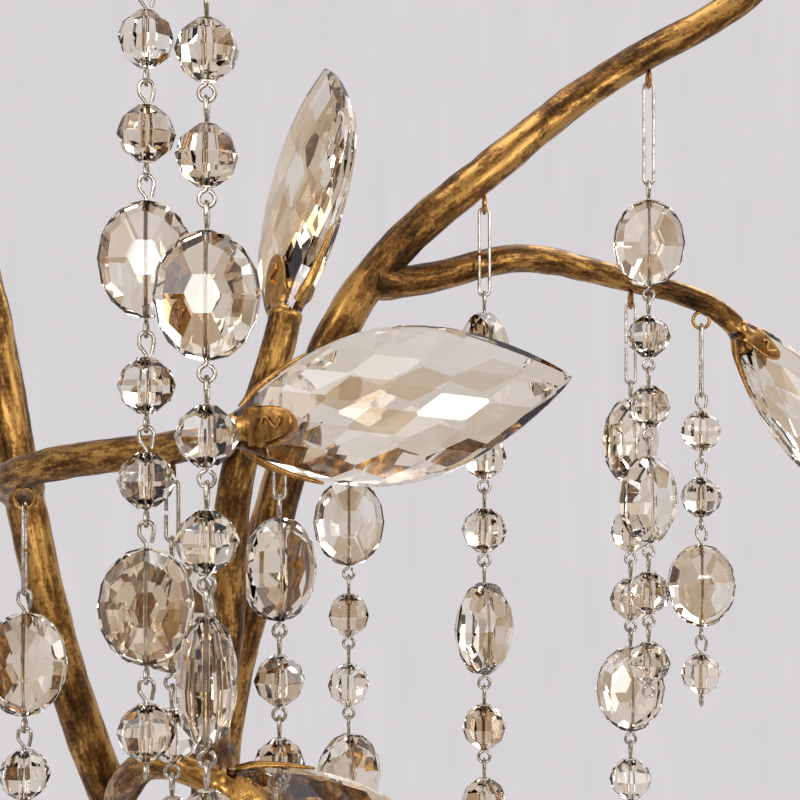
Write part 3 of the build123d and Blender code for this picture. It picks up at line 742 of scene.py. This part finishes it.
bright_gilt = gilt_finish("bright_gilt", -0.13, gloss=0.16)
prong_halves = [1.5 - 1.15 * i / PRONG_STEPS for i in range(PRONG_STEPS + 1)]
claw_parts = []
for leaf_name in LEAF_PLACES:
    place = leaf_matrix(leaf_name)
    claw_parts.append(claw_neck(place, 3.5 if leaf_name in THIN_TWIG_LEAVES else 4.0))
    for side in (1, -1):
        claw_parts.append(claw_tongue(place, side))
    claw_parts.append(gilt_rod(twist_line(place), [0.55] * (TWIST_STEPS + 1), 0.2, 400.0))
    for hand in (1, -1):
        claw_parts.append(gilt_rod(prong_line(place, hand), prong_halves, 0.3, 300.0))
claws = joined("leaf_claw_tongues", claw_parts, bright_gilt)
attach(claws, "frame")
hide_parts("leaf_claws")

# ---------------------------------------------------------------- eyelets
# A small ring of gilt wire is brazed under a branch wherever a strand hangs, and the strand's
# hook swings on the ring's lowest point.

EYELET_RISE = 2.77  # the ring's middle above the strand's hinge
EYELET_WIRE = 1.2

ring_row, given = geometry_tree("ring_row", [
    ("Ring Radius", "Float"), ("Wire Radius", "Float"), ("Gilding", "Material")])
ring_line = circle_curve(ring_row, 28, given["Ring Radius"])
one_ring = swept(ring_row, ring_line, circle_curve(ring_row, 12, given["Wire Radius"]), caps=False)
on_edge = (math.pi / 2, 0, 0)
upright = add_node(ring_row, "GeometryNodeTransform", {"Geometry": one_ring, "Rotation": on_edge})
ring_turn = add_node(ring_row, "ShaderNodeCombineXYZ", {2: read_number(ring_row, "heading")})
rings = add_node(ring_row, "GeometryNodeInstanceOnPoints", {
    "Points": given["Geometry"], "Instance": upright, "Rotation": ring_turn})
finish_tree(ring_row, rings, given["Gilding"])

# Each strand's hinge in millimetres, and the heading of its eyelet's bar.
hinges = {}
for joint in frame["joints"]:
    axis = joint["axis"]
    hinges[joint["child"]] = np.array(joint["pos_m"], float) / MM, math.atan2(axis[1], axis[0])
ring_spots = [[hinge + np.array((0, 0, EYELET_RISE))] for hinge, _ in hinges.values()]
ring_start = lines_mesh(ring_spots, heading=[heading for _, heading in hinges.values()])
eyelets = grown("eyelet_rings", ring_start, ring_row, {
    "Ring Radius": EYELET_RISE * MM, "Wire Radius": EYELET_WIRE / 2 * MM, "Gilding": bright_gilt})
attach(eyelets, "frame")
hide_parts("branch_eyelets")

# ---------------------------------------------------------------- beads
# Round and oval beads of the same champagne crystal, ground all over and bored through. An oval
# shows a honeycomb of flats, and is followed by two round beads down each strand.

ROUND_LENGTH = 13.3
ROUND_BANDS = [(18, 6.15, 0), (-18, 6.15, 0), (51, 6.37, 22.5), (-51, 6.37, 22.5)]  # latitude, reach, start
ROUND_SIDES = 8
OVAL_LENGTH = 28.0
OVAL_HALF = Vector((11.1, 6.3, 13.7))
OVAL_BANDS = [(0, 1, 0), (33, 6, 0), (64, 12, 15)]  # tilt from the face's middle, flats, start
OVAL_RIM_FLATS = 16
OVAL_RIM_EASE = 1.005
BORE_HALF = 0.8
SPIN_PLAY = 0.12
BEAD_SEED = 11
LOOP_RISE = 5.9  # a pin's loop above its bead
EYE_DROP = 4.2  # and its eye below
WIRE = 1.0
WIRE_GAP = 0.05  # between two linked wires
PATTERN_LENGTH = 3  # oval, round, round
# Each strand: the ways its ovals face in turn, where the pattern starts, how many beads it has, and
# its hook's length.
STRANDS = {
    "strand_01": ((90, 0), 0, 8, 25.3),
    "strand_02": ((0, 10), 0, 8, 25.9),
    "strand_03": ((0, 20), 0, 4, 14.0),
    "strand_04": ((35, 0), 0, 4, 18.0),
    "strand_05": ((10, 30), 0, 4, 15.0),
    "strand_06": ((60, 50), 0, 6, 25.0),
    "strand_07": ((40, 10), 0, 5, 25.0),
    "strand_08": ((0, 40), 0, 6, 31.0),
    "strand_09": ((0, 30), 1, 4, 23.0),
    "strand_10": ((0, 60), 0, 4, 23.0),
    "strand_11": ((90, 60), 1, 4, 28.0),
    "strand_12": ((90, 70), 0, 3, 23.0),
}


def bored(stone):
    """Opens the bore between the flats at the two ends of a bead."""
    ends = []
    for sign in (1, -1):
        tables = [face for face in stone.faces if face.normal.z * sign > 0.999]
        table = max(tables, key=lambda face: face.calc_area())
        corners = [loop.vert for loop in table.loops]
        corners.sort(key=lambda vert: math.atan2(vert.co.y, vert.co.x))
        bmesh.ops.delete(stone, geom=[table], context="FACES_ONLY")
        inner = []
        for vert in corners:
            angle = math.atan2(vert.co.y, vert.co.x)
            spot = (BORE_HALF * math.cos(angle), BORE_HALF * math.sin(angle), vert.co.z)
            inner.append(stone.verts.new(spot))
        skinned(stone, [corners, inner])
        ends.append(inner)
    skinned(stone, ends)
    bmesh.ops.recalc_face_normals(stone, faces=stone.faces)


def end_planes(reach):
    """The flats at a bead's two ends."""
    return [(Vector((0, 0, sign * reach)), Vector((0, 0, sign))) for sign in (1, -1)]


def bead_cut(name, planes, block, seed):
    """One bead, bored, as a pattern for all of its kind."""
    stone = ground_stone(Vector(), block, planes, seed)
    bored(stone)
    stone.transform(Matrix.Diagonal((MM, MM, MM, 1)))
    return placed(name, finished_mesh(stone))


def oval_plane(way, ease=1.0):
    """The flat that touches the oval's ellipsoid in the given way from its middle."""
    spot = Vector([a * b for a, b in zip(way, OVAL_HALF)]) * ease
    return spot, Vector([a / b for a, b in zip(way, OVAL_HALF)]).normalized()


round_planes = end_planes(ROUND_LENGTH / 2)
for latitude, reach, start in ROUND_BANDS:
    up = math.radians(latitude)
    for k in range(ROUND_SIDES):
        swing = math.radians(360 / ROUND_SIDES * k + start)
        way = Vector((math.cos(up) * math.cos(swing), math.cos(up) * math.sin(swing), math.sin(up)))
        round_planes.append((way * reach, way))
round_cut = bead_cut("round_cut", round_planes, (15, 15, 14), 5)

oval_planes = end_planes(OVAL_LENGTH / 2 * 0.985)
for tilt, flats, start in OVAL_BANDS:
    lean = math.radians(tilt)
    for front in (1, -1):
        for k in range(flats):
            swing = math.radians(360 / flats * k + start)
            across, up = math.sin(lean) * math.sin(swing), math.sin(lean) * math.cos(swing)
            oval_planes.append(oval_plane(Vector((across, front * math.cos(lean), up))))
for k in range(OVAL_RIM_FLATS):
    swing = math.radians(360 / OVAL_RIM_FLATS * k + 180 / OVAL_RIM_FLATS)
    oval_planes.append(oval_plane(Vector((math.sin(swing), 0, math.cos(swing))), OVAL_RIM_EASE))
oval_cut = bead_cut("oval_cut", oval_planes, (26, 15, 30), 9)

# Ovals keep near the way that they face, with a little play. Round beads turn as they fell.
bead_string, given = geometry_tree("bead_string", [
    ("Round Cut", "Object"), ("Oval Cut", "Object"), ("Spin Play", "Float"), ("Seed", "Int"),
    ("Crystal", "Material")])


def chance_between(low, high):
    inputs = {2: low, 3: high, "Seed": given["Seed"]}
    return add_node(bead_string, "FunctionNodeRandomValue", inputs, data_type="FLOAT").outputs[1]


oval_ones = add_node(
    bead_string, "FunctionNodeCompare", {0: read_number(bead_string, "oval"), 1: 0.5},
    operation="GREATER_THAN", data_type="FLOAT",
)
by_kind = add_node(
    bead_string, "GeometryNodeSeparateGeometry", {"Geometry": given["Geometry"], "Selection": oval_ones}
).outputs
most_back = maths(bead_string, "MULTIPLY", given["Spin Play"], -1.0)
play = chance_between(most_back.outputs[0], given["Spin Play"])
oval_heading = maths(bead_string, "ADD", read_number(bead_string, "facing"), play)
together = add_node(bead_string, "GeometryNodeJoinGeometry")
for cut_input, points, bead_heading in [
    ("Oval Cut", by_kind["Selection"], oval_heading.outputs[0]),
    ("Round Cut", by_kind["Inverted"], chance_between(0.0, 6.28)),
]:
    pattern = add_node(bead_string, "GeometryNodeObjectInfo", {"Object": given[cut_input]})
    bead_turn = add_node(bead_string, "ShaderNodeCombineXYZ", {2: bead_heading})
    one_kind = add_node(bead_string, "GeometryNodeInstanceOnPoints", {
        "Points": points, "Instance": pattern.outputs["Geometry"], "Rotation": bead_turn})
    bead_string.links.new(one_kind.outputs[0], together.inputs[0])
with_tone = stored(bead_string, together, "bead_tone", chance_between(0.0, 1.0), domain="INSTANCE")
finish_tree(bead_string, with_tone, given["Crystal"], smooth=False)

# The beads' champagne tint, then the brown of their painted reflections.
bead_crystal = crystal_finish("bead_crystal", (0.885, 0.79, 0.66), (0.50, 0.33, 0.17))
hung = {}
for strand_index, (strand, (facings, first, count, hook_length)) in enumerate(STRANDS.items()):
    hinge, _ = hinges[strand]
    bar = -hook_length
    middles, ovals, headings, lengths = [], [], [], []
    for i in range(count):
        oval = (first + i) % PATTERN_LENGTH == 0
        length = OVAL_LENGTH if oval else ROUND_LENGTH
        middle = bar + WIRE + WIRE_GAP - LOOP_RISE - length / 2
        middles.append(hinge + np.array((0, 0, middle)))
        ovals.append(oval)
        headings.append(math.radians(facings[i // PATTERN_LENGTH % len(facings)]))
        lengths.append(length)
        bar = middle - length / 2 - EYE_DROP
    hung[strand] = list(zip(middles, lengths))
    spots = lines_mesh([[middle] for middle in middles], oval=ovals, facing=headings)
    beads = grown(strand + "_cut_beads", spots, bead_string, {
        "Round Cut": round_cut, "Oval Cut": oval_cut, "Spin Play": SPIN_PLAY,
        "Seed": BEAD_SEED + strand_index, "Crystal": bead_crystal})
    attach(beads, strand)
    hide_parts(strand + "_beads")
for cut in (round_cut, oval_cut):
    bpy.data.objects.remove(cut)

# ---------------------------------------------------------------- pins and hooks
# Nickel-plated wire, 1 mm thick. A pin runs through each bead and is bent to an open hairpin loop
# above it and a round eye below. A longer hairpin hooks the strand on its eyelet.

EYE_RADIUS = 1.72
WIRE_BEND = 1.5
HOOK_HALF_WIDTH = 1.55

bent_wire, given = geometry_tree("bent_wire", [
    ("Wire Radius", "Float"), ("Bend Radius", "Float"), ("Sides", "Int"), ("Plating", "Material")])
wire_line = add_node(bent_wire, "GeometryNodeMeshToCurve", {"Mesh": given["Geometry"]})
wire_bends = add_node(
    bent_wire, "GeometryNodeFilletCurve",
    {"Curve": wire_line, "Radius": given["Bend Radius"], "Limit Radius": True}, mode="POLY",
)
set_inputs(wire_bends, {"Count": 7})
wire_round = circle_curve(bent_wire, given["Sides"], given["Wire Radius"])
finish_tree(bent_wire, swept(bent_wire, wire_bends, wire_round), given["Plating"])


def nickel_finish():
    """Nickel plate, a little tarnished, with fine lines from drawing."""
    material, tree, shader = blank_material("nickel_wire")
    tarnish = noise(tree, 420.0, Vector=object_place(tree), Detail=4.0, Roughness=0.6)
    tones = [(0.34, (0.27, 0.22, 0.17)), (0.5, (0.50, 0.45, 0.39)), (0.7, (0.66, 0.62, 0.56))]
    set_inputs(shader, {
        "Base Color": colour_ramp(tree, tarnish, tones),
        "Metallic": 1.0,
        "Roughness": mapped(tree, tarnish, 0.3, 0.7, 0.30, 0.16),
        "Normal": bump(tree, tarnish, 0.15, 0.0001),
    })
    return material


def pin_points(length):
    """A pin's bends (ahead, aside, up) from its bead's middle: the loop, the shank, the eye."""
    top = length / 2
    loop = top + LOOP_RISE
    eye_middle = -top - EYE_DROP + EYE_RADIUS
    points = [
        (1.25, 0, top + 0.9), (1.75, 0, top + 3.4), (1.65, 0, loop), (-1.65, 0, loop),
        (-1.7, 0, top + 2.9), (0, 0, top + 0.6), (0, 0, -top - 0.35),
    ]
    for degrees in range(15, 350, 18):
        angle = math.radians(degrees)
        points.append((0, EYE_RADIUS * math.sin(angle), eye_middle + EYE_RADIUS * math.cos(angle)))
    return points


def hook_points(length):
    """A hook's bends, from its strand's hinge."""
    top = EYELET_WIRE / 2 * math.sqrt(2) + WIRE / 2 + WIRE_GAP
    half = HOOK_HALF_WIDTH
    sides = [(1.5, 0.6 - length / 2), (half, top), (-half, top)]
    sides += [(-half, -length), (half, -length), (1.5, -length / 2 - 0.4)]
    return [(0, aside, up) for aside, up in sides]


nickel_wire = nickel_finish()
for strand, beads_hung in hung.items():
    hinge, heading = hinges[strand]
    ways = np.array([
        (math.cos(heading), math.sin(heading), 0),
        (-math.sin(heading), math.cos(heading), 0),
        (0, 0, 1),
    ])
    chains = [middle + np.array(pin_points(length)) @ ways for middle, length in beads_hung]
    chains.append(hinge + np.array(hook_points(STRANDS[strand][3])) @ ways)
    wires = grown(strand + "_pins", lines_mesh(chains), bent_wire, {
        "Wire Radius": WIRE / 2 * MM, "Bend Radius": WIRE_BEND * MM, "Sides": 10, "Plating": nickel_wire})
    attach(wires, strand)
    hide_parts(strand + "_wires")

# ---------------------------------------------------------------- lamps
# At the top of each main branch stands a gilt cup with an ivory candle sleeve over a black
# lampholder, and a screw-cap candle lamp of clear glass.

CUP_FLOOR = 5.0  # above the branch's end
SLEEVE_TOP = CUP_FLOOR + 62.0
HOLDER_TOP = CUP_FLOOR + 60.0
HOLDER_SEAT = HOLDER_TOP - 22.0  # the bottom of its bore
THREAD_PITCH = 2.6
BULB_FOOT = HOLDER_TOP + 3.0
BULB_LENGTH = 76.0
BULB_HALF = 17.0
BULB_STEPS = 24
GLASS_THICK = 0.7
STEM_TOP = BULB_FOOT + 27.0
FILAMENT_STEPS = 60
FILAMENT_HALF_SPAN = 5.5
FILAMENT_RISE = 6.0
COIL_RADIUS = 0.55
COIL_TURN = 1.9  # radians for each step
CUP_PROFILE = [
    (0, 0), (5.4, 0), (5.6, 0.8), (5.2, 1.6), (7.2, 2.4), (11.0, 3.1), (13.0, 4.2), (14.0, 6.0),
    (15.2, 8.6), (16.9, 11.0), (16.9, 12.0), (16.2, 12.0), (14.4, 9.2), (13.0, 6.4), (12.4, CUP_FLOOR),
    (0, CUP_FLOOR)]
SLEEVE_PROFILE = [
    (10.5, CUP_FLOOR), (11.45, CUP_FLOOR), (11.3, CUP_FLOOR + 20), (11.45, SLEEVE_TOP - 1),
    (11.2, SLEEVE_TOP), (10.7, SLEEVE_TOP), (10.5, SLEEVE_TOP - 1)]
HOLDER_PROFILE = [
    (0, CUP_FLOOR), (9.3, CUP_FLOOR), (9.3, HOLDER_TOP - 24), (9.1, HOLDER_TOP - 23),
    (9.1, HOLDER_TOP - 0.8), (8.4, HOLDER_TOP), (6.4, HOLDER_TOP), (6.3, HOLDER_TOP - 1),
    (6.3, HOLDER_SEAT), (0, HOLDER_SEAT)]


def lathed(profile, sides, place):
    """A turned shape from (radius, height) points. A point at radius 0 closes it on its axis."""
    shape = bmesh.new()
    rings = []
    for radius, height in profile:
        corners = circle(sides) if radius > 1e-6 else [(0, 0)]
        rings.append([shape.verts.new((radius * c, radius * s, height)) for c, s in corners])
    closed = len(rings[0]) > 1
    skinned(shape, rings + rings[:1] if closed else rings)
    bmesh.ops.recalc_face_normals(shape, faces=shape.faces)
    shape.transform(place @ Matrix.Diagonal((MM, MM, MM, 1)))
    return finished_mesh(shape)


def plain_finish(name, colours, roughness, metallic=0.0, scale=300.0, strength=0.15):
    """A simple coat with a slight mottle and skin."""
    material, tree, shader = blank_material(name)
    mottle = noise(tree, scale, Vector=object_place(tree), Detail=5.0, Roughness=0.6)
    set_inputs(shader, {
        "Base Color": colour_ramp(tree, mottle, [(0.35, colours[0]), (0.65, colours[1])]),
        "Metallic": metallic,
        "Roughness": mapped(tree, mottle, 0.3, 0.7, roughness + 0.06, roughness - 0.05),
        "Normal": bump(tree, mottle, strength, 0.0003),
    })
    return material


def glass_finish():
    """Thin clear glass with a faint wave."""
    material, tree, shader = blank_material("lamp_glass")
    wave = noise(tree, 60.0, Vector=object_place(tree))
    set_inputs(shader, {
        "Base Color": colour_ramp(tree, wave, [(0.3, (0.95, 0.94, 0.92)), (0.7, (0.99, 0.99, 0.98))]),
        "Transmission Weight": 1.0,
        "IOR": 1.45,
        "Roughness": mapped(tree, wave, 0.0, 1.0, 0.0, 0.03),
    })
    return material


def cap_profile():
    """The screw cap, with its rolled thread."""
    profile = [(0, HOLDER_SEAT), (3.0, HOLDER_SEAT), (3.4, HOLDER_SEAT + 1.5), (5.2, HOLDER_SEAT + 4.5)]
    for k in range(6):
        z = HOLDER_SEAT + 6 + THREAD_PITCH * k
        profile += [(5.6, z), (5.95, z + 0.9), (5.95, z + 1.5), (5.6, z + 2.3)]
    return profile + [(5.7, HOLDER_TOP + 1.6), (5.95, BULB_FOOT), (0, BULB_FOOT)]


def bulb_profile():
    """The hollow candle-shaped glass: its outer wall up to the tip, and its inner wall down again."""
    outer = [(5.9, BULB_FOOT)]
    for k in range(1, BULB_STEPS):
        share = k / BULB_STEPS
        swell = math.sin(math.pi * (0.13 + 0.87 * share**0.92)) ** 0.75
        draw_in = 1 - 0.28 * max(0, share - 0.4) ** 0.8
        outer.append((BULB_HALF * swell * draw_in, BULB_FOOT + BULB_LENGTH * share))
    inner = [(radius - GLASS_THICK, height) for radius, height in outer]
    tips = [(0, BULB_FOOT + BULB_LENGTH), (0, BULB_FOOT + BULB_LENGTH - 1)]
    return outer + tips + inner[::-1]


def filament_chains():
    """Two stems from the cap, and the coil of wire that arches between them."""
    stem = [(2.2, BULB_FOOT - 1), (2.4, BULB_FOOT + 14), (FILAMENT_HALF_SPAN, STEM_TOP)]
    chains = [[(hand * aside, 0, up) for aside, up in stem] for hand in (-1, 1)]
    arch = []
    for k in range(FILAMENT_STEPS + 1):
        swing, coil = math.pi * k / FILAMENT_STEPS, COIL_TURN * k
        up = FILAMENT_RISE * math.sin(swing) + COIL_RADIUS * math.cos(coil)
        arch.append((FILAMENT_HALF_SPAN * math.cos(swing), COIL_RADIUS * math.sin(coil), STEM_TOP + up))
    return chains + [arch]


cup_gilt = gilt_finish("cup_gilt", 0.0)
ivory_sleeve = plain_finish("ivory_sleeve", ((0.66, 0.58, 0.42), (0.78, 0.71, 0.56)), 0.5)
black_holder = plain_finish("black_holder", ((0.012, 0.012, 0.012), (0.025, 0.024, 0.023)), 0.35)
brass_cap = plain_finish("brass_cap", ((0.55, 0.38, 0.14), (0.72, 0.53, 0.22)), 0.28, 1.0)
lamp_glass = glass_finish()
for side_name in ("right", "left"):
    foot = BARS["main_branch_" + side_name][1][-1]
    stand = Matrix.Translation(Vector(foot) * MM)
    for cad_name, piece_name, profile, sides, material, slot_name in [
        ("lamp_cup_", "turned_cup_", CUP_PROFILE, 48, cup_gilt, "antique_gilt"),
        ("candle_sleeve_", "ivory_sleeve_", SLEEVE_PROFILE, 40, ivory_sleeve, "candle_sleeve"),
        ("lampholder_", "black_lampholder_", HOLDER_PROFILE, 36, black_holder, "lampholder"),
        ("bulb_cap_", "screw_cap_", cap_profile(), 36, brass_cap, "lamp_cap"),
        ("bulb_glass_", "candle_bulb_", bulb_profile(), 40, lamp_glass, "lamp_glass"),
    ]:
        piece = joined(piece_name + side_name, [lathed(profile, sides, stand)], material)
        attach(piece, "frame")
        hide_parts(cad_name + side_name)
    chains = [np.array(foot) + np.array(chain) for chain in filament_chains()]
    filament = grown("lamp_filament_" + side_name, lines_mesh(chains), bent_wire, {
        "Wire Radius": 0.22 * MM, "Bend Radius": 0.3 * MM, "Sides": 6, "Plating": nickel_wire})
    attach(filament, "frame")

# ---------------------------------------------------------------- wall fixing
# A pressed and gilt wall plate hides the wall box. It is held by two cap nuts on the zinc-plated
# bracket's studs, and the branches come out of it through a turned collar.

STUD_PLACES = (-26, 26)
PLATE_PROFILE = [
    (60.0, 0), (60.0, 3.2), (59.6, 4.4), (58.4, 5.4), (56.6, 6.0), (55.6, 7.2), (52.0, 10.4), (46.0, 14.8),
    (40.0, 17.6), (38.0, 18.3), (37.0, 19.6), (35.6, 20.0), (5.2, 20.0), (5.2, 18.8), (35.0, 18.8),
    (39.4, 16.4), (45.4, 13.6), (51.2, 9.4), (55.0, 5.6), (58.7, 3.6), (58.8, 0)]
COLLAR_PROFILE = [
    (5.2, 20.0), (14.2, 20.0), (14.9, 20.8), (14.9, 21.8), (14.0, 22.6), (12.6, 23.0), (12.2, 24.4),
    (11.0, 25.6), (9.4, 26.0), (5.2, 26.0)]
NUT_PROFILE = [(0, 20.0), (4.4, 20.0), (4.62, 20.3), (4.62, 22.8), (4.2, 23.2), (0, 23.2)]
DOME_PROFILE = [(0, 22.0), (3.7, 23.0), (3.7, 24.2), (3.3, 25.6), (2.4, 26.5), (1.2, 26.9), (0, 27.0)]

to_wall = Matrix.Rotation(math.radians(90), 4, "X")  # turns +Z to -Y
plate_gilt = gilt_finish("plate_gilt", 0.02)
plate = joined("dished_wall_plate", [lathed(PLATE_PROFILE, 96, to_wall)], plate_gilt)
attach(plate, "frame")
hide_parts("wall_plate")
collar = joined("turned_collar", [lathed(COLLAR_PROFILE, 48, to_wall)], plate_gilt)
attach(collar, "frame")
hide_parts("branch_collar")

nut_shapes = []
for x in STUD_PLACES:
    nut_place = Matrix.Translation(Vector((x * MM, 0, 0))) @ to_wall
    nut_shapes.append(lathed(NUT_PROFILE, 6, nut_place))
    nut_shapes.append(lathed(DOME_PROFILE, 24, nut_place))
cap_nuts = joined("domed_cap_nuts", nut_shapes, bright_gilt, smooth=False)
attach(cap_nuts, "frame")
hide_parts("cap_nuts")

zinc_plate = plain_finish("zinc_plate", ((0.48, 0.47, 0.44), (0.70, 0.69, 0.65)), 0.35, 1.0, 140.0, 0.1)
for cad_name in ("mounting_bracket", "plate_studs", "earth_screw", "threaded_nipple", "lock_nut"):
    for material_slot in frame["nodes"][cad_name].material_slots:
        material_slot.material = zinc_plate
